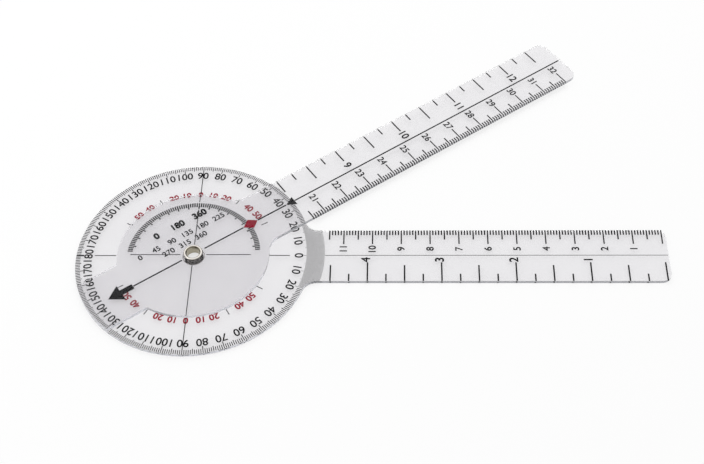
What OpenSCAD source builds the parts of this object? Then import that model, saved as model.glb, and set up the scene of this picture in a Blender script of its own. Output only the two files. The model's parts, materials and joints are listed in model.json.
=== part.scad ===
// Full-circle angle finder with two ruled arms: two clear plates that turn on a hollow eyelet.
// Frame: origin on the pivot axis at the underside of the fixed arm, +X along the fixed arm and
// +Z up through the moving arm, which is drawn turned by open_angle. Millimetres.

/* [Plates] */
// Radius of the round head on the fixed arm
head_r = 41; // [38:1:48]
// Thickness of each clear plate
plate_t = 1.2; // [0.8:0.1:1.6]
// Width of both arms
arm_w = 22; // [18:1:24]
// Distance from the pivot to the end of each arm
arm_reach = 163.5; // [163:0.5:175]
// Corner radius at the arm ends
end_r = 3.5; // [1:0.5:6]
// Radius of the hub disc on the moving arm
hub_r = 26.5; // [25:0.5:28]
// Angle between the two arms as drawn
open_angle = 35.5; // [0:0.1:180]

/* [Blends] */
// Fillet where the fixed arm leaves the head
neck_fillet = 5; // [2:0.5:8]
// Fillet where the moving arm leaves its hub
arm_fillet = 6; // [2:0.5:7]
// Fillet where the tail leaves the hub
tail_fillet = 1.5; // [1:0.5:4]

/* [Eyelet] */
// Radius of the clear bore through the eyelet
bore_r = 2.3; // [1.6:0.1:2.4]
// Thickness of the eyelet's metal
metal_t = 0.35; // [0.3:0.05:0.45]
// Outer radius of the flat flange under the fixed arm
flange_r = 3.9; // [3.5:0.1:4.5]
// Inside radius of the rolled rim over the moving arm
curl_r = 0.2; // [0.15:0.05:0.35]

/* [Printing] */
// Height of the printed ink
ink_t = 0.04; // [0.02:0.01:0.08]
// Distance from the pivot to zero on the fixed arm's rulers
ruler_zero = 162; // [160:0.5:162.5]
// Width of a millimetre stroke
fine_line = 0.48; // [0.15:0.01:0.6]
// Width of a degree stroke
degree_line = 0.28; // [0.12:0.01:0.34]
// Width of a centimetre stroke
bold_line = 0.45; // [0.2:0.05:0.6]
// Width of a stroke on the inch rulers
inch_line = 0.52; // [0.2:0.02:0.6]
// Width of a stroke of the inner half circle
band_line = 0.5; // [0.2:0.05:0.55]
// Width of the head's cross lines and tilt marks
cross_line = 0.3; // [0.1:0.02:0.4]
// Width of the fixed arm's centre line
hair_line = 0.2; // [0.1:0.02:0.3]
// Width of the reading line along the moving arm
reading_w = 0.54; // [0.2:0.02:0.6]

/* [Hidden] */
$fn = 96;

inch = 25.4;
half_w = arm_w / 2;
arc_lap = 0.001;

// Heights: the fixed arm is printed on top and the moving arm underneath, so that its lines lie
// close to the scale they are read against. The plates ride clear of each other's print, and the
// rolled rim clears the moving arm
plate_gap = 0.2;
rim_gap = 0.04;
moving_z = plate_t + plate_gap;
stack_top = moving_z + plate_t;

// Eyelet: its barrel is seated in the fixed arm, and the moving arm runs on it
barrel_r = bore_r + metal_t;
seat_play = 0.02;
running_play = 0.06;
rim_r = curl_r + metal_t;
rim_centre = [barrel_r + curl_r, stack_top + 0.1];

// Head graduations: one a degree, longer at five and longest at ten
rim_margin = 0.1;
ring_out = head_r - rim_margin;
degree_in = head_r - 1.7;
five_in = head_r - 2.1;
ten_in = head_r - 2.8;
// Across the neck they are finer, two a degree, and run out to a longer arc
neck_out = head_r + 4.6;
neck_degrees = 20;
neck_line = 0.4 * degree_line;
half_turn_line = 0.6;

// Inner half circle of strokes, one every two degrees and longer at ten
band_long = hub_r - 5.9;
band_in = hub_r - 5.1;
band_out = hub_r - 3.3;
band_first = 6;
band_last = 176;
band_step = 2;

// Marks of the tilt scale, which is read from the upright line to either side
tilt_in = hub_r - 0.2;
tilt_out = hub_r + 2.3;

// Cross lines on the head: direction, start and end of each stretch. They leave room for the
// eyelet, the stroke band, and the zero and 180 numerals
eyelet_room = flange_r + 0.6;
cross_lines = [
    [0, eyelet_room, hub_r - 6.5], [0, hub_r - 0.3, head_r - 7.5],
    [90, eyelet_room, band_long - 0.4], [90, band_out + 0.5, ten_in - 0.05],
    [180, eyelet_room, hub_r - 4.5], [180, hub_r + 0.5, head_r - 6.5],
    [270, eyelet_room, ten_in - 0.05]
];

// Rulers: depth of each stroke from the edge of the arm inwards
mm_depth = 2;
half_cm_depth = 4;
cm_depth = 6;
quarter_inch_depth = 3;
half_inch_depth = 6.7;
fixed_inch_depth = 7.9;
moving_inch_depth = 5.6;
edge_margin = 0.05;
end_margin = 0.3;
// First and last stroke of each ruler, counted from zero on the fixed arm
fixed_mm = [0, 115];
fixed_quarters = [0, 18];
moving_mm = [205, 320];
moving_quarters = [32, 50];

// Moving arm's pointers, as distances from the pivot
arrow_tip = -head_r + 7.8;
arrow_barb = arrow_tip + 4.9;
arrow_tail = arrow_barb + 4.6;
tilt_pointer_tip = hub_r - 0.3;
tilt_pointer_len = 5.8;
rim_pointer_tip = head_r - 2.8;
rim_pointer_base = head_r + 0.7;

clear_plastic = [0.93, 0.93, 0.95, 0.5];
black_ink = [0.07, 0.07, 0.08];
red_ink = [0.80, 0.12, 0.17];
nickel = [0.78, 0.75, 0.68];

// Plates ------------------------------------------------------------------------------------

// An arm along +X from the pivot, square at its start and with two rounded corners at its end
module arm_strip() {
    linear_extrude(plate_t) {
        translate([0, -half_w]) square([arm_reach - end_r, arm_w]);
        translate([0, end_r - half_w]) square([arm_reach, arm_w - 2 * end_r]);
        for (side = [-1, 1])
            translate([arm_reach - end_r, side * (half_w - end_r)]) circle(end_r);
    }
}

// A web that fills both corners between a disc and the arm with arcs of radius r. Each arc meets
// the disc and the arm by crossing them by a hair, so the outline has a clean corner there
module corner_web(disc_r, r) {
    y = half_w + r - arc_lap;
    x = sqrt(pow(disc_r + r - arc_lap, 2) - y * y);
    linear_extrude(plate_t) difference() {
        polygon([[0, 0], [x, y], [x, -y]]);
        for (side = [-1, 1])
            translate([x, side * y]) circle(r);
    }
}

module fixed_plate() {
    cylinder(r = head_r, h = plate_t);
    arm_strip();
    corner_web(head_r, neck_fillet);
}

// The tail passes under the eyelet's rim and ends on an arc just inside the head's edge
module moving_plate() {
    cylinder(r = hub_r, h = plate_t);
    arm_strip();
    intersection() {
        cylinder(r = ring_out, h = plate_t);
        translate([-head_r, -half_w, 0]) cube([head_r, arm_w, plate_t]);
    }
    corner_web(hub_r, arm_fillet);
    mirror([1, 0, 0]) corner_web(hub_r, tail_fillet);
}

module pivot_hole(r) {
    translate([0, 0, -1]) cylinder(r = r, h = plate_t + 2);
}

module on_moving_arm(z) {
    rotate(open_angle) translate([0, 0, z]) children();
}

module fixed_arm() {
    color(clear_plastic) difference() {
        fixed_plate();
        pivot_hole(barrel_r + seat_play);
    }
}

module moving_arm() {
    color(clear_plastic) on_moving_arm(moving_z) difference() {
        moving_plate();
        pivot_hole(barrel_r + running_play);
    }
}

// Eyelet ------------------------------------------------------------------------------------

// Half section: flat flange with a rounded mouth below, straight barrel, and a rim rolled
// outwards and down on to the moving arm
module eyelet_section() {
    translate([bore_r, 0]) square([metal_t, rim_centre[1]]);
    intersection() {
        translate([barrel_r, 0]) circle(metal_t);
        translate([0, -metal_t]) square([flange_r, metal_t]);
    }
    translate([barrel_r, -metal_t]) square([flange_r - metal_t / 2 - barrel_r, metal_t]);
    translate([flange_r - metal_t / 2, -metal_t / 2]) circle(metal_t / 2);
    translate(rim_centre) difference() {
        circle(rim_r);
        circle(curl_r);
        translate([-2 * rim_r, -4 * rim_r]) square(4 * rim_r);
    }
    translate([rim_centre[0] + curl_r, stack_top + rim_gap])
        square([metal_t, rim_centre[1] - stack_top - rim_gap]);
}

module eyelet() {
    color(nickel) rotate_extrude() eyelet_section();
}

// Strokes of ink, each on the plane z = 0 ---------------------------------------------------

module line_along_x(x0, x1, width) {
    translate([x0, -width / 2, 0]) cube([x1 - x0, width, ink_t]);
}

module radial_stroke(angle, r_in, r_out, width) {
    rotate(angle) line_along_x(r_in, r_out, width);
}

// A ruler stroke at x, running inwards from the arm's edge on the +Y side (1) or -Y side (-1)
module edge_stroke(x, side, depth, width) {
    edge = side * (half_w - edge_margin);
    translate([x - width / 2, min(edge, edge - side * depth), 0]) cube([width, depth, ink_t]);
}

module printed_shape(points) {
    linear_extrude(ink_t) polygon(points);
}

module on_fixed_arm() {
    translate([0, 0, plate_t]) children();
}

// Printing on the fixed arm -----------------------------------------------------------------

function degree_start(deg) = deg % 10 == 0 ? ten_in : deg % 5 == 0 ? five_in : degree_in;

module degree_ring() {
    color(black_ink) on_fixed_arm() {
        for (deg = [neck_degrees + 1 : 359 - neck_degrees])
            if (deg != 180)
                radial_stroke(deg, degree_start(deg), ring_out, degree_line);
        intersection() {
            union() {
                for (deg = [-neck_degrees : neck_degrees])
                    radial_stroke(deg, degree_start(abs(deg)), neck_out, neck_line);
                for (deg = [-neck_degrees : neck_degrees - 1])
                    radial_stroke(deg + 0.5, degree_in, neck_out, neck_line);
            }
            fixed_plate();
        }
    }
}

// Bold stroke at the half turn
module half_circle_mark() {
    color(black_ink) on_fixed_arm() radial_stroke(180, ten_in, ring_out, half_turn_line);
}

module head_cross_lines() {
    color(black_ink) on_fixed_arm()
        for (line = cross_lines)
            radial_stroke(line[0], line[1], line[2], cross_line);
}

module tilt_marks() {
    color(black_ink) on_fixed_arm()
        for (upright = [90, 270], tilt = [-60, -30, 30, 60])
            radial_stroke(upright + tilt, tilt_in, tilt_out, cross_line);
}

module stroke_band() {
    color(black_ink) on_fixed_arm()
        for (deg = [band_first : band_step : band_last])
            radial_stroke(deg, deg % 10 == 0 ? band_long : band_in, band_out, band_line);
}

module fixed_arm_centre_line() {
    color(black_ink) on_fixed_arm()
        line_along_x(neck_out + rim_margin, arm_reach - end_margin, hair_line);
}

function millimetre_depth(mm) = mm % 10 == 0 ? cm_depth : mm % 5 == 0 ? half_cm_depth : mm_depth;
function millimetre_width(mm) = mm % 10 == 0 ? bold_line : fine_line;

module fixed_arm_centimetres() {
    color(black_ink) on_fixed_arm()
        for (mm = [fixed_mm[0] : fixed_mm[1]])
            edge_stroke(ruler_zero - mm, 1, millimetre_depth(mm), millimetre_width(mm));
}

function quarter_depth(quarter, whole) =
    quarter % 4 == 0 ? whole : quarter % 2 == 0 ? half_inch_depth : quarter_inch_depth;

module fixed_arm_inches() {
    color(black_ink) on_fixed_arm()
        for (quarter = [fixed_quarters[0] : fixed_quarters[1]])
            edge_stroke(ruler_zero - quarter * inch / 4, -1,
                quarter_depth(quarter, fixed_inch_depth), inch_line);
}

// Printing on the moving arm ----------------------------------------------------------------

// One line through the pivot, broken at the arrow, the eyelet and the two pointers
module reading_line() {
    color(black_ink) on_moving_arm(moving_z - ink_t) {
        line_along_x(arrow_tail + rim_margin, -eyelet_room, reading_w);
        line_along_x(eyelet_room, tilt_pointer_tip - tilt_pointer_len - rim_margin, reading_w);
        line_along_x(tilt_pointer_tip + rim_margin, rim_pointer_tip - rim_margin, reading_w);
        line_along_x(rim_pointer_base + rim_margin, arm_reach - end_margin, reading_w);
    }
}

module moving_arm_centimetres() {
    color(black_ink) on_moving_arm(moving_z - ink_t)
        for (mm = [moving_mm[0] : moving_mm[1]])
            edge_stroke(mm - ruler_zero, -1, millimetre_depth(mm), millimetre_width(mm));
}

module moving_arm_inches() {
    color(black_ink) on_moving_arm(moving_z - ink_t)
        for (quarter = [moving_quarters[0] : moving_quarters[1]])
            edge_stroke(quarter * inch / 4 - ruler_zero, 1,
                quarter_depth(quarter, moving_inch_depth), inch_line);
}

module tail_arrow() {
    color(black_ink) on_moving_arm(moving_z - ink_t)
        printed_shape([
            [arrow_tip, 0], [arrow_barb, 3.4], [arrow_barb, 1.1], [arrow_tail, 1.1],
            [arrow_tail, -1.1], [arrow_barb, -1.1], [arrow_barb, -3.4]
        ]);
}

module rim_pointer() {
    color(black_ink) on_moving_arm(moving_z - ink_t)
        printed_shape([[rim_pointer_tip, 0], [rim_pointer_base, -2], [rim_pointer_base, 2]]);
}

module tilt_pointer() {
    widest = tilt_pointer_tip - 2.8;
    color(red_ink) on_moving_arm(moving_z - ink_t)
        printed_shape([
            [tilt_pointer_tip, 0], [widest, 2.2],
            [tilt_pointer_tip - tilt_pointer_len, 0], [widest, -2.2]
        ]);
}

fixed_arm();
moving_arm();
eyelet();
degree_ring();
half_circle_mark();
stroke_band();
head_cross_lines();
tilt_marks();
fixed_arm_centre_line();
fixed_arm_centimetres();
fixed_arm_inches();
reading_line();
moving_arm_centimetres();
moving_arm_inches();
tail_arrow();
rim_pointer();
tilt_pointer();
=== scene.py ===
import json
import math

import bpy
from mathutils import Matrix, Vector


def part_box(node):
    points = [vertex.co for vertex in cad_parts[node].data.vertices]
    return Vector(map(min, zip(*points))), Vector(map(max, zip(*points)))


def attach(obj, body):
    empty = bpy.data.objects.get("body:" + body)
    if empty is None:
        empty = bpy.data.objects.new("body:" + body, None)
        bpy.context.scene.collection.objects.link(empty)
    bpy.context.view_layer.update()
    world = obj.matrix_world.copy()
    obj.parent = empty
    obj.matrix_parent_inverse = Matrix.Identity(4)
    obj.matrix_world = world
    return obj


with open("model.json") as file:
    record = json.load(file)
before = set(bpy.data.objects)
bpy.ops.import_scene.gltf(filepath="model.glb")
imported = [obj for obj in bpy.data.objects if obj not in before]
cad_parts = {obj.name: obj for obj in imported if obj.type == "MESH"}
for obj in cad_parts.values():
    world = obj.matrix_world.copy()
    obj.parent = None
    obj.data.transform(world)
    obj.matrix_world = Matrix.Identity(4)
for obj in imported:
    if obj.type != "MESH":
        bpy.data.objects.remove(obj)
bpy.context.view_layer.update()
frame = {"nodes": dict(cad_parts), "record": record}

# Dresses the angle finder: two clear plates, their printed scales and numerals, and the plated
# eyelet. Lengths in the tables below are millimetres; Blender's own are metres.
MM = 0.001

FIXED = "fixed_body"
MOVING = "moving_body"
INK_FILM = 0.03

# The fixed arm is printed on top and the moving arm underneath
FIXED_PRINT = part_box("fixed_arm")[1].z / MM
MOVING_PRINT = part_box("moving_arm")[0].z / MM - INK_FILM
line_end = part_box("reading_line")[1]
OPEN_ANGLE = math.degrees(math.atan2(line_end.y, line_end.x))

# Radii of the numerals on the head, and the distance of the rulers' zero strokes from the pivot
DEGREE_NUMERALS = 36.65
TILT_NUMERALS = 27.5
RULER_ZERO = 162.0
CENTIMETRE = 10.0
INCH = 25.4

# Share of the built-in font's size that a digit is high
DIGIT_SHARE = 0.73

# Radius of the eyelet's bore, and how far outside it the rolled rim has its crest
BORE_R = 2.3
RIM_CREST = 0.55


class Wiring:
    """Adds nodes to one tree and links them. A socket is given by name or by number."""

    def __init__(self, tree):
        self.tree = tree

    def feed(self, socket, value):
        if isinstance(value, bpy.types.Node):
            value = value.outputs[0]
        if isinstance(value, bpy.types.NodeSocket):
            self.tree.links.new(value, socket)
        else:
            socket.default_value = value

    def add(self, kind, inputs=None, **settings):
        node = self.tree.nodes.new(kind)
        for name, value in settings.items():
            setattr(node, name, value)
        for name, value in (inputs or {}).items():
            self.feed(node.inputs[name], value)
        return node

    def math(self, operation, *values):
        return self.add("ShaderNodeMath", dict(enumerate(values)), operation=operation)

    def vector_math(self, operation, *values):
        return self.add("ShaderNodeVectorMath", dict(enumerate(values)), operation=operation)

    def scaled(self, vector, factor):
        return self.add("ShaderNodeVectorMath", {0: vector, "Scale": factor}, operation="SCALE")

    def blend(self, share, low, high):
        """Mixes two colours by a mask."""
        node = self.add("ShaderNodeMix", data_type="RGBA")
        for number, value in ((0, share), (6, low), (7, high)):
            self.feed(node.inputs[number], value)
        return node.outputs[2]

    def between(self, value, from_low, from_high, to_low=0.0, to_high=1.0):
        """Maps a value from one range to another and holds it there."""
        return self.add("ShaderNodeMapRange", {
            "Value": value, "From Min": from_low, "From Max": from_high,
            "To Min": to_low, "To Max": to_high})


def new_sockets(tree, in_out, kind, *names):
    """Gives a node group inputs or outputs of one kind."""
    for name in names:
        tree.interface.new_socket(name, in_out=in_out, socket_type=f"NodeSocket{kind}")


# Surface effects that several finishes share ------------------------------------------------

def make_handling_marks():
    """Smudges and hairline scratches from use: a roughness that wanders between two values, a
    height for a Bump node and a mask of the scratches."""
    scratch_angle, scratch_squeeze = 0.5, 0.06
    group = bpy.data.node_groups.new("handling_marks", "ShaderNodeTree")
    new_sockets(group, "INPUT", "Float", "Smooth", "Dull", "Smudge Scale", "Scratch Scale")
    new_sockets(group, "OUTPUT", "Float", "Roughness", "Height", "Scratches")
    w = Wiring(group)
    given = w.add("NodeGroupInput").outputs
    place = w.add("ShaderNodeTexCoord").outputs["Object"]
    smudges = w.add("ShaderNodeTexNoise", {
        "Vector": place, "Scale": given["Smudge Scale"], "Detail": 5.0, "Roughness": 0.55})
    patches = w.between(smudges.outputs[0], 0.35, 0.7)

    # A scratch is a peak of a noise that is drawn out along one direction
    drawn_out = w.add("ShaderNodeMapping", {
        "Vector": place, "Rotation": (0, 0, scratch_angle), "Scale": (scratch_squeeze, 1.0, 1.0)})
    hairs = w.add("ShaderNodeTexNoise", {
        "Vector": drawn_out, "Scale": given["Scratch Scale"], "Detail": 2.0})
    scratches = w.between(hairs.outputs[0], 0.66, 0.74)

    span = w.math("SUBTRACT", given["Dull"], given["Smooth"])
    marked = w.math("ADD", w.math("MULTIPLY", patches, 0.7), w.math("MULTIPLY", scratches, 0.3))
    roughness = w.math("ADD", given["Smooth"], w.math("MULTIPLY", span, marked))
    height = w.math("SUBTRACT", w.math("MULTIPLY", patches, 0.4), scratches)
    w.add("NodeGroupOutput", {"Roughness": roughness, "Height": height, "Scratches": scratches})
    return group


def new_finish(name, marks, smooth, dull, bump, smudge_scale=60.0, scratch_scale=500.0):
    """A material with one Principled shader, its roughness and bump from the handling marks."""
    mark_depth = 0.02 * MM
    material = bpy.data.materials.new(name)
    material.use_nodes = True
    w = Wiring(material.node_tree)
    shader = material.node_tree.nodes["Principled BSDF"]
    worn = w.add("ShaderNodeGroup", {
        "Smooth": smooth, "Dull": dull, "Smudge Scale": smudge_scale,
        "Scratch Scale": scratch_scale}, node_tree=marks).outputs
    w.feed(shader.inputs["Roughness"], worn["Roughness"])
    w.feed(shader.inputs["Normal"], w.add("ShaderNodeBump", {
        "Height": worn["Height"], "Strength": bump, "Distance": mark_depth}))
    return material, w, shader, worn


def clear_plastic(marks):
    """Clear sheet whose cut edges carry painted shade, a dark cool grey. Lamps shine through it
    on to the floor, and its reflections are held back, because a white room in them would veil the
    print."""
    smooth, dull = 0.005, 0.035
    clean_tint, smudged_tint = (0.845, 0.837, 0.849, 1), (0.815, 0.807, 0.823, 1)
    # The cut edges' dark cool grey is painted shade
    edge_painted_shade = (0.1, 0.101, 0.115, 1)
    alpha_outside, alpha_inside = 0.9, 0.55
    reflection = 0.15

    material, w, shader, worn = new_finish("clear_plastic", marks, smooth, dull, bump=0.12)
    facing = w.add("ShaderNodeSeparateXYZ", {0: w.add("ShaderNodeTexCoord").outputs["Normal"]})
    edge = w.between(w.math("ABSOLUTE", facing.outputs["Z"]), 0.6, 0.3)
    face_tint = w.blend(w.between(worn["Roughness"], smooth, dull), clean_tint, smudged_tint)
    w.feed(shader.inputs["Base Color"], w.blend(edge, face_tint, edge_painted_shade))
    # A cut edge lets a part of the light straight through, from inside more than from outside
    inside = w.add("ShaderNodeNewGeometry").outputs["Backfacing"]
    edge_alpha = w.between(inside, 0.0, 1.0, alpha_outside, alpha_inside)
    w.feed(shader.inputs["Alpha"], w.between(edge, 0.0, 1.0, 1.0, edge_alpha))
    shader.inputs["Transmission Weight"].default_value = 1.0
    shader.inputs["IOR"].default_value = 1.49
    shader.inputs["Specular IOR Level"].default_value = reflection
    shader.inputs["Specular Tint"].default_value = (reflection, reflection, reflection, 1)

    # Lamps and the light between things pass straight through the sheet. So does a ray that a
    # face has thrown back into it, at the next face that it meets.
    straight = w.add("ShaderNodeBsdfTransparent", {"Color": (0.97, 0.97, 0.975, 1)})
    path = w.add("ShaderNodeLightPath").outputs
    trapped = w.math("GREATER_THAN", path["Glossy Depth"], 0.5)
    soft_light = w.math("MAXIMUM", path["Is Shadow Ray"], path["Is Diffuse Ray"])
    shown = w.add("ShaderNodeMixShader", {
        0: w.math("MAXIMUM", soft_light, trapped), 1: shader.outputs[0], 2: straight})
    w.feed(material.node_tree.nodes["Material Output"].inputs["Surface"], shown)
    return material


def printed_ink(name, marks, colour, worn_colour):
    """Screen-printed ink: an even film, slightly thin in places."""
    smooth, thinning, dull = 0.35, 0.4, 0.6
    material, w, shader, worn = new_finish(name, marks, smooth, dull, bump=0.2,
                                           smudge_scale=900.0)
    thin = w.between(worn["Roughness"], thinning, dull)
    w.feed(shader.inputs["Base Color"], w.blend(thin, colour, worn_colour))
    shader.inputs["Specular IOR Level"].default_value = 0.05
    return material


def plated_eyelet(marks):
    """Nickel plate on brass: bright on the rolled rim, thin and tarnished down the bore, with
    painted shade where the eyelet meets the plastic and in patches just inside the rim."""
    bright, rubbed = (0.50, 0.475, 0.445, 1), (0.36, 0.33, 0.28, 1)
    # The bore's brass tarnish, and a near-black painted shade for patches just inside the rim
    tarnish, rim_inner_shade = (0.40, 0.37, 0.29, 1), (0.07, 0.055, 0.035, 1)
    # Painted shade on the outside of the eyelet: lighter low down, near black under the rim
    lower_shade, under_rim_shade = (0.35, 0.34, 0.33, 1), (0.03, 0.028, 0.026, 1)
    rim_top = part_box("eyelet")[1].z / MM
    crest = BORE_R + RIM_CREST

    material, w, shader, worn = new_finish("plated_eyelet", marks, 0.12, 0.34, bump=0.3,
                                           smudge_scale=700.0, scratch_scale=2500.0)
    place = w.add("ShaderNodeTexCoord").outputs["Object"]
    xyz = w.add("ShaderNodeSeparateXYZ", {0: place}).outputs
    x, y, z = (w.math("DIVIDE", xyz[axis], MM) for axis in "XYZ")
    radius = w.math("SQRT", w.math("ADD", w.math("MULTIPLY", x, x), w.math("MULTIPLY", y, y)))

    # The bore starts inside the rim's crest, and just below it carries patches of painted shade
    bore = w.between(radius, crest - 0.12, crest - 0.32)
    patches = w.add("ShaderNodeTexNoise", {"Vector": place, "Scale": 420.0, "Detail": 3.0})
    inner_shade_patches = w.math("MULTIPLY", w.between(patches.outputs[0], 0.37, 0.5),
                     w.between(z, rim_top - 1.4, rim_top - 0.5))
    metal = w.blend(bore, w.blend(worn["Scratches"], bright, rubbed),
                    w.blend(inner_shade_patches, tarnish, rim_inner_shade))
    # Painted shade darkens what faces the plastic: the skirt of the rim, the barrel and the
    # flange's top, darkest under the rim
    outside = w.between(radius, BORE_R + 0.12, BORE_R + 0.25)
    buried = w.math("MULTIPLY", w.between(z, rim_top - 0.12, rim_top - 0.32),
                    w.between(z, -0.12, -0.04))
    painted_shade = w.blend(w.between(z, 1.0, 2.6), lower_shade, under_rim_shade)
    w.feed(shader.inputs["Base Color"], w.blend(w.math("MULTIPLY", outside, buried), metal, painted_shade))
    shader.inputs["Metallic"].default_value = 1.0
    return material


# Printed numerals ---------------------------------------------------------------------------

def make_numeral_tree():
    """One row or ring of numbers as a closed film of ink, in millimetres until the last step.
    Number i is First + Step * i without its sign. It stands at Start + Shift * i, turned
    about the pivot by Turn * i, and its own upright leans by Lean + Turn * i."""
    weld = 0.001
    tree = bpy.data.node_groups.new("printed_numerals", "GeometryNodeTree")
    new_sockets(tree, "INPUT", "Geometry", "Geometry")
    new_sockets(tree, "INPUT", "Int", "Count")
    new_sockets(tree, "INPUT", "Vector", "Start", "Shift")
    new_sockets(tree, "INPUT", "Float", "First", "Step", "Turn", "Lean", "Height", "Weight", "Film",
                "Swing", "Level")
    new_sockets(tree, "INPUT", "Material", "Ink")
    new_sockets(tree, "OUTPUT", "Geometry", "Numerals")
    w = Wiring(tree)
    given = w.add("NodeGroupInput").outputs
    repeat = tree.nodes.new("GeometryNodeRepeatInput")
    repeat_end = tree.nodes.new("GeometryNodeRepeatOutput")
    repeat.pair_with_output(repeat_end)
    w.feed(repeat.inputs["Iterations"], given["Count"])
    index = repeat.outputs["Iteration"]

    # The digits of one number, centred
    number = w.math("ABSOLUTE", w.math("ADD", given["First"],
                                       w.math("MULTIPLY", given["Step"], index)))
    digits = w.add("FunctionNodeValueToString", {"Value": number, "Decimals": 0})
    glyphs = w.add("GeometryNodeStringToCurves", {
        "String": digits, "Size": w.math("DIVIDE", given["Height"], DIGIT_SHARE)},
        font=bpy.data.fonts.load("<builtin>"))
    outline = w.add("GeometryNodeRealizeInstances", {"Geometry": glyphs})
    box = w.add("GeometryNodeBoundBox", {"Geometry": outline}).outputs
    centre = w.scaled(w.vector_math("ADD", box["Min"], box["Max"]), -0.5)
    centred = w.add("GeometryNodeTransform", {"Geometry": outline, "Translation": centre})

    # Its place and lean in the row or ring
    turn = w.math("RADIANS", w.math("MULTIPLY", given["Turn"], index))
    lean = w.math("ADD", turn, w.math("RADIANS", given["Lean"]))
    along = w.vector_math("ADD", given["Start"], w.scaled(given["Shift"], index))
    about_pivot = w.add("ShaderNodeVectorRotate", {"Vector": along, "Angle": turn},
                        rotation_type="Z_AXIS")
    placed = w.add("GeometryNodeTransform", {
        "Geometry": centred, "Translation": about_pivot,
        "Rotation": w.add("ShaderNodeCombineXYZ", {"Z": lean})})
    gathered = w.add("GeometryNodeJoinGeometry")
    w.feed(gathered.inputs[0], repeat.outputs["Geometry"])
    w.feed(gathered.inputs[0], placed)
    w.feed(repeat_end.inputs["Geometry"], gathered)

    # The outlines are made bolder, filled and raised to a film that is closed underneath
    outlines = w.add("GeometryNodeResampleCurve", {"Curve": repeat_end.outputs["Geometry"]},
                     mode="EVALUATED")
    outward = w.vector_math("CROSS_PRODUCT", w.add("GeometryNodeInputTangent"), (0, 0, 1))
    bold = w.add("GeometryNodeSetPosition", {
        "Geometry": outlines, "Offset": w.scaled(outward, given["Weight"])})
    flat = w.add("GeometryNodeFillCurve", {"Curve": bold})
    raised = w.add("GeometryNodeExtrudeMesh", {
        "Mesh": flat, "Offset": (0, 0, 1), "Offset Scale": given["Film"], "Individual": False})
    closed = w.add("GeometryNodeJoinGeometry")
    w.feed(closed.inputs[0], raised)
    w.feed(closed.inputs[0], w.add("GeometryNodeFlipFaces", {"Mesh": flat}))
    welded = w.add("GeometryNodeMergeByDistance", {"Geometry": closed, "Distance": weld})

    level = w.math("MULTIPLY", given["Level"], MM)
    seated = w.add("GeometryNodeTransform", {
        "Geometry": welded, "Translation": w.add("ShaderNodeCombineXYZ", {"Z": level}),
        "Rotation": w.add("ShaderNodeCombineXYZ", {"Z": w.math("RADIANS", given["Swing"])}),
        "Scale": (MM, MM, MM)})
    inked = w.add("GeometryNodeSetMaterial", {
        "Geometry": w.add("GeometryNodeRealizeInstances", {"Geometry": seated}),
        "Material": given["Ink"]})
    w.add("NodeGroupOutput", {"Numerals": inked})
    return tree


def row(first, count, start, shift, lean, height, weight, step=1.0):
    """Numbers in a straight line."""
    return {"First": first, "Count": count, "Step": step, "Start": (*start, 0),
            "Shift": (*shift, 0), "Turn": 0.0, "Lean": lean, "Height": height, "Weight": weight}


def ring(first, count, step, radius, at, height, weight):
    """Numbers round the pivot from the direction `at`, with their tops outwards."""
    angle = math.radians(at)
    return {"First": first, "Count": count, "Step": step,
            "Start": (radius * math.cos(angle), radius * math.sin(angle), 0),
            "Shift": (0, 0, 0), "Turn": step, "Lean": at - 90, "Height": height,
            "Weight": weight}


def evaluated_mesh(tree, values):
    """The mesh that a Geometry Nodes tree makes with these inputs."""
    holder = bpy.data.objects.new("holder", bpy.data.meshes.new("holder"))
    bpy.context.scene.collection.objects.link(holder)
    modifier = holder.modifiers.new("tree", "NODES")
    modifier.node_group = tree
    ids = {s.name: s.identifier for s in tree.interface.items_tree if s.in_out == "INPUT"}
    for name, value in values.items():
        modifier[ids[name]] = value
    seen = holder.evaluated_get(bpy.context.evaluated_depsgraph_get())
    mesh = bpy.data.meshes.new_from_object(seen)
    bpy.data.objects.remove(holder)
    return mesh


def print_numerals(name, tree, body, ink, rows):
    """Prints rows of numbers as one piece that rides on a body."""
    swing, level = (OPEN_ANGLE, MOVING_PRINT) if body == MOVING else (0.0, FIXED_PRINT)
    shared = {"Film": INK_FILM, "Swing": swing, "Level": level, "Ink": ink}
    parts = []
    for values in rows:
        part = bpy.data.objects.new(name, evaluated_mesh(tree, {**values, **shared}))
        bpy.context.scene.collection.objects.link(part)
        parts.append(part)
    with bpy.context.temp_override(active_object=parts[0], selected_editable_objects=parts):
        if len(parts) > 1:
            bpy.ops.object.join()
    piece = parts[0]
    piece.name = piece.data.name = name
    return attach(piece, body)


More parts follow.
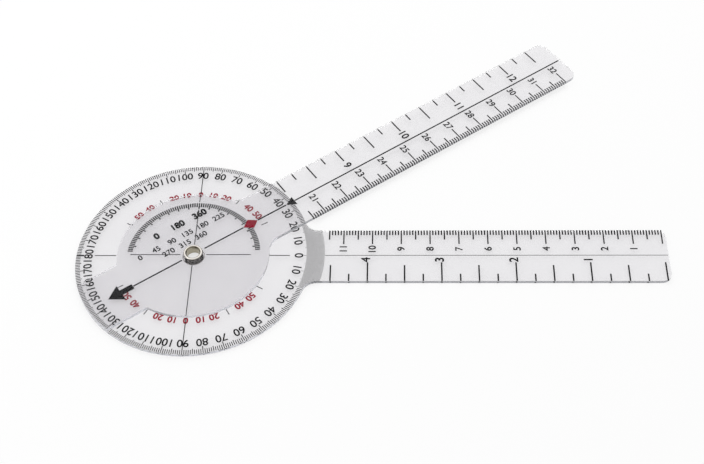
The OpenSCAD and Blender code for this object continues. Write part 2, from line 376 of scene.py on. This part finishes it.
def print_all_numerals(black, red):
    """The head's two circles of degrees, both arms' rulers and the plain numbers on the hub."""
    tree = make_numeral_tree()
    print_numerals("degree_numerals", tree, FIXED, black, [
        ring(first=-170, count=36, step=10, radius=DEGREE_NUMERALS, at=-170, height=3.0,
             weight=0.07)])
    tilt_runs = [(-50, 2), (-20, 5), (40, 2)]
    print_numerals("tilt_numerals", tree, FIXED, red, [
        ring(first, count, step=10, radius=TILT_NUMERALS, at=upright + first, height=2.5,
             weight=0.12)
        for upright in (90, 270) for first, count in tilt_runs])

    # A number stands beside its stroke. The fixed arm's rulers count down towards its end and
    # the moving arm's count on from them.
    print_numerals("fixed_arm_numerals", tree, FIXED, black, [
        row(first=1, count=11, start=(RULER_ZERO - CENTIMETRE - 0.1, 2.85),
            shift=(-CENTIMETRE, 0), lean=90, height=2.6, weight=0.09),
        row(first=1, count=4, start=(RULER_ZERO - INCH - 0.7, -1.9), shift=(-INCH, 0), lean=90,
            height=3.1, weight=0.12)])
    print_numerals("moving_arm_numerals", tree, MOVING, black, [
        row(first=21, count=12, start=(21 * CENTIMETRE - RULER_ZERO, -2.8),
            shift=(CENTIMETRE, 0), lean=-90, height=2.6, weight=0.09),
        row(first=9, count=4, start=(9 * INCH - RULER_ZERO, 2.9), shift=(INCH, 0), lean=-90,
            height=3.0, weight=0.12)])
    print_numerals("hub_numerals", tree, MOVING, black, [
        row(first=0, count=3, start=(-6.5, 14.5), shift=(8.7, 0), lean=0, height=2.6,
            weight=0.2, step=180),
        row(first=0, count=6, start=(-15.8, 9.4), shift=(6.3, 0), lean=0, height=2.2,
            weight=0.08, step=45),
        row(first=270, count=3, start=(-6.5, 5.8), shift=(6.5, 0), lean=0, height=2.2,
            weight=0.08, step=45)])


# Studio -------------------------------------------------------------------------------------

def seen_directly(w):
    """1 for rays from the camera, from a reflection or through clear plastic."""
    path = w.add("ShaderNodeLightPath").outputs
    return w.math("MAXIMUM", w.math("MAXIMUM", path["Is Camera Ray"], path["Is Glossy Ray"]),
                  path["Is Transmission Ray"])


def white_floor(level):
    """A wide white floor. What looks at it directly sees some of its shading lifted to white."""
    reach = 6.0
    lifted_share = 0.6
    mesh = bpy.data.meshes.new("floor")
    mesh.from_pydata([(-reach, -reach, level), (reach, -reach, level), (reach, reach, level),
                      (-reach, reach, level)], [], [(0, 1, 2, 3)])
    floor = bpy.data.objects.new("floor", mesh)
    bpy.context.scene.collection.objects.link(floor)
    material = bpy.data.materials.new("white_floor")
    material.use_nodes = True
    w = Wiring(material.node_tree)
    paper = material.node_tree.nodes["Principled BSDF"]
    paper.inputs["Base Color"].default_value = (0.97, 0.97, 0.97, 1)
    paper.inputs["Roughness"].default_value = 1.0
    paper.inputs["Specular IOR Level"].default_value = 0.0
    white = w.add("ShaderNodeEmission", {"Color": (1, 1, 1, 1), "Strength": 1.0})
    shown = w.add("ShaderNodeMixShader", {
        0: w.math("MULTIPLY", seen_directly(w), lifted_share), 1: paper.outputs[0], 2: white})
    w.feed(material.node_tree.nodes["Material Output"].inputs["Surface"], shown)
    mesh.materials.append(material)


def studio_world():
    """A white backdrop. As a light the room is dimmer than it looks."""
    room_light = 0.66
    world = bpy.data.worlds.new("studio")
    bpy.context.scene.world = world
    world.use_nodes = True
    w = Wiring(world.node_tree)
    world.node_tree.nodes.clear()
    room = w.add("ShaderNodeBackground", {"Color": (1, 1, 1, 1), "Strength": room_light})
    backdrop = w.add("ShaderNodeBackground", {"Color": (1, 1, 1, 1), "Strength": 1.0})
    shown = w.add("ShaderNodeMixShader", {0: seen_directly(w), 1: room, 2: backdrop})
    w.add("ShaderNodeOutputWorld", {"Surface": shown})


def softbox(name, place, aim, size, power):
    """A rectangular lamp at a place, turned towards what it lights."""
    lamp = bpy.data.lights.new(name, "AREA")
    lamp.shape = "RECTANGLE"
    lamp.size, lamp.size_y = size
    lamp.energy = power
    holder = bpy.data.objects.new(name, lamp)
    holder.location = place
    holder.rotation_euler = (Vector(aim) - Vector(place)).to_track_quat("-Z", "Y").to_euler()
    bpy.context.scene.collection.objects.link(holder)


def photo_camera():
    """The photograph's view: from the front, half-way up, rolled a little."""
    azimuth, elevation, roll = (math.radians(v) for v in (3.362, 51.208, -2.704))
    distance = 0.46627
    target = Vector((0.0547, 0.01132, 0))
    film_width, focal_length = 36.0, 67.88
    nearest, farthest = 0.01, 20.0

    back = Vector((math.sin(azimuth) * math.cos(elevation),
                   -math.cos(azimuth) * math.cos(elevation), math.sin(elevation)))
    level_right = (-back).cross(Vector((0, 0, 1))).normalized()
    level_up = level_right.cross(-back)
    right = level_right * math.cos(roll) + level_up * math.sin(roll)
    up = level_up * math.cos(roll) - level_right * math.sin(roll)
    turned = Matrix((right, up, back)).transposed().to_4x4()
    camera_data = bpy.data.cameras.new("camera")
    camera_data.sensor_width = film_width
    camera_data.lens = focal_length
    camera_data.clip_start = nearest
    camera_data.clip_end = farthest
    camera = bpy.data.objects.new("camera", camera_data)
    camera.matrix_world = Matrix.Translation(target + back * distance) @ turned
    bpy.context.scene.collection.objects.link(camera)
    bpy.context.scene.camera = camera


def light_studio():
    """A floor just under the eyelet's flange, a large lamp above and behind the object, and a
    small one to the left of it."""
    floor_gap = 0.02 * MM
    white_floor(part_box("eyelet")[0].z - floor_gap)
    studio_world()
    softbox("overhead_softbox", place=(0.05, 0.42, 0.85), aim=(0.05, 0.0, 0), size=(1.6, 1.1),
            power=4.6)
    softbox("side_softbox", place=(-0.5, -0.15, 0.5), aim=(0, 0, 0), size=(0.25, 0.5), power=0.6)


def main():
    bpy.context.scene.view_settings.view_transform = "Standard"
    marks = make_handling_marks()
    finishes = {
        "clear_plastic": clear_plastic(marks),
        "eyelet_metal": plated_eyelet(marks),
        "black_ink": printed_ink("black_ink", marks, (0.006, 0.006, 0.007, 1),
                                 (0.02, 0.02, 0.023, 1)),
        "red_ink": printed_ink("red_ink", marks, (0.27, 0.008, 0.024, 1), (0.36, 0.03, 0.05, 1)),
    }
    slots = {s["node"]: s["material_slot"] for s in frame["record"]["subparts"]}
    for name, node in frame["nodes"].items():
        node.data.materials.clear()
        node.data.materials.append(finishes[slots[name]])

    print_all_numerals(finishes["black_ink"], finishes["red_ink"])
    light_studio()
    photo_camera()


main()
